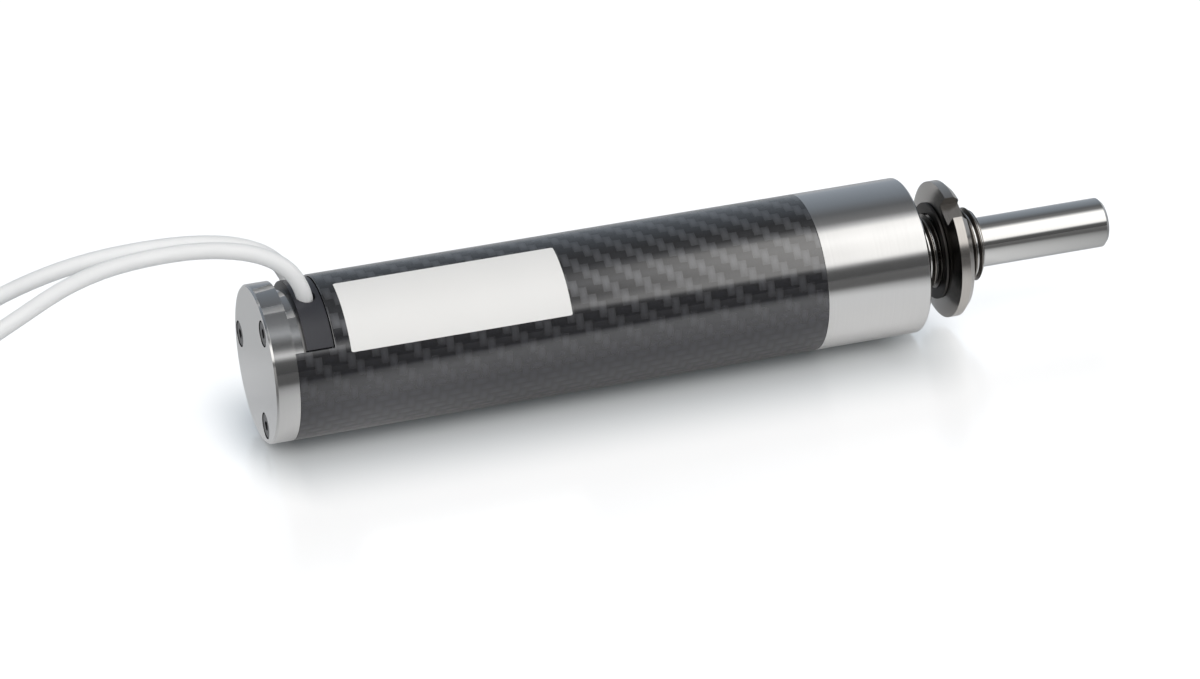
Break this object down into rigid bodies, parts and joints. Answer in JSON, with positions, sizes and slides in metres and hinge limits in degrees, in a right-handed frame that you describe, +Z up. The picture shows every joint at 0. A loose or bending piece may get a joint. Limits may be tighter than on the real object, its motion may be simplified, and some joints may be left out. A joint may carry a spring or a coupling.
{
  "type": "piezo linear actuator",
  "caption": "Round carbon-fibre-bodied piezo stepping actuator with a steel threaded nose, ring nut, sliding polished rod and two plugged cables.",
  "frame": {"origin": "on the resting surface, under the middle of the actuator without its cables, at rest", "axes": "+X along the rod out of the nose, +Z up; the actuator lies on its side"},
  "size_m": [0.3013, 0.0394, 0.0358],
  "materials": {
    "steel": "satin turned stainless steel",
    "rod_steel": "ground and polished",
    "nut_steel": "turned steel",
    "screw_steel": "plain steel screws",
    "spring_steel": "hardened steel",
    "frame_aluminium": "milled",
    "bronze": "sintered bronze",
    "seal_rubber": "matt",
    "carbon_fibre": "clear-coated woven carbon fibre",
    "black_plastic": "moulded",
    "ceramic": "ground alumina ceramic",
    "piezo_ceramic": "cofired piezo ceramic",
    "sensor_plastic": "moulded sensor package",
    "scale_glass": "reflective measuring scale",
    "board": "solder-masked circuit board",
    "cable_jacket": "white cable jacket",
    "tie": "black tie",
    "boot_rubber": "matt",
    "hood_plastic": "metallised plug hood",
    "plated_steel": "nickel-plated sheet",
    "insert_plastic": "moulded insulator",
    "pin_gold": "gold-plated contacts",
    "jack_steel": "nickel-plated steel"
  },
  "bodies": {
    "housing": {"front_body": "steel", "front_bush": "bronze", "rod_wiper": "seal_rubber", "front_stop_ring": "seal_rubber", "carbon_tube": "carbon_fibre", "rear_cap": "steel", "cap_screws": "screw_steel", "cable_block": "black_plastic", "rear_stop_pad": "seal_rubber", "drive_frame": "frame_aluminium", "frame_screws": "screw_steel", "drive_base": "ceramic", "piezo_legs": "piezo_ceramic", "leg_tips": "ceramic", "roller_carriage": "frame_aluminium", "roller_axles": "screw_steel", "leaf_spring": "spring_steel", "preload_screw": "screw_steel", "encoder_head": "sensor_plastic", "circuit_board": "board", "near_cable": "cable_jacket", "near_lead": "cable_jacket", "near_coil": "cable_jacket", "near_ties": "tie", "near_plug_boot": "boot_rubber", "near_plug_hood_lower": "hood_plastic", "near_plug_hood_upper": "hood_plastic", "near_plug_shell": "plated_steel", "near_plug_insert": "insert_plastic", "near_plug_pins": "pin_gold", "far_cable": "cable_jacket", "far_lead": "cable_jacket", "far_coil": "cable_jacket", "far_ties": "tie", "far_plug_boot": "boot_rubber", "far_plug_hood_lower": "hood_plastic", "far_plug_hood_upper": "hood_plastic", "far_plug_shell": "plated_steel", "far_plug_insert": "insert_plastic", "far_plug_pins": "pin_gold"},
    "rod": {"push_rod": "rod_steel", "rod_coupling": "frame_aluminium", "coupling_screw": "screw_steel", "runner": "ceramic", "encoder_scale": "scale_glass"},
    "front_roller": {"front_roller": "spring_steel"},
    "rear_roller": {"rear_roller": "spring_steel"},
    "washer": {"lock_washer": "nut_steel"},
    "nut": {"ring_nut": "nut_steel"},
    "near_jackscrew_left": {"near_jackscrew_left": "jack_steel"},
    "near_jackscrew_right": {"near_jackscrew_right": "jack_steel"},
    "far_jackscrew_left": {"far_jackscrew_left": "jack_steel"},
    "far_jackscrew_right": {"far_jackscrew_right": "jack_steel"}
  },
  "joints": [
    {"name": "rod_slide", "type": "slide", "parent": "housing", "child": "rod", "axis": [1, 0, 0], "range_m": [-0.015, 0.015]},
    {"name": "front_roller_spin", "type": "hinge", "parent": "housing", "child": "front_roller", "pos_m": [-0.0165, 0, 0.0168], "axis": [0, 1, 0], "range_deg": [-390, 390]},
    {"name": "rear_roller_spin", "type": "hinge", "parent": "housing", "child": "rear_roller", "pos_m": [-0.0285, 0, 0.0168], "axis": [0, 1, 0], "range_deg": [-390, 390]},
    {"name": "nut_travel", "type": "slide", "parent": "housing", "child": "washer", "axis": [1, 0, 0], "range_m": [-0.004, 0.0035]},
    {"name": "nut_turn", "type": "hinge", "parent": "washer", "child": "nut", "pos_m": [0.0429, 0, 0.0125], "axis": [1, 0, 0], "range_deg": [-1440, 1260]},
    {"name": "near_jackscrew_left_turn", "type": "hinge", "parent": "housing", "child": "near_jackscrew_left", "pos_m": [-0.212, -0.0125, 0.007], "axis": [1, 0, 0], "continuous": true},
    {"name": "near_jackscrew_right_turn", "type": "hinge", "parent": "housing", "child": "near_jackscrew_right", "pos_m": [-0.212, 0.0125, 0.007], "axis": [1, 0, 0], "continuous": true},
    {"name": "far_jackscrew_left_turn", "type": "hinge", "parent": "housing", "child": "far_jackscrew_left", "pos_m": [-0.212, -0.0125, 0.0211], "axis": [1, 0, 0], "continuous": true},
    {"name": "far_jackscrew_right_turn", "type": "hinge", "parent": "housing", "child": "far_jackscrew_right", "pos_m": [-0.212, 0.0125, 0.0211], "axis": [1, 0, 0], "continuous": true}
  ],
  "couplings": [
    {"joint": "front_roller_spin", "follows": "rod_slide", "rad_per_m": -444.44},
    {"joint": "rear_roller_spin", "follows": "rod_slide", "rad_per_m": -444.44},
    {"joint": "nut_travel", "follows": "nut_turn", "m_per_rad": 0.00015915}
  ]
}
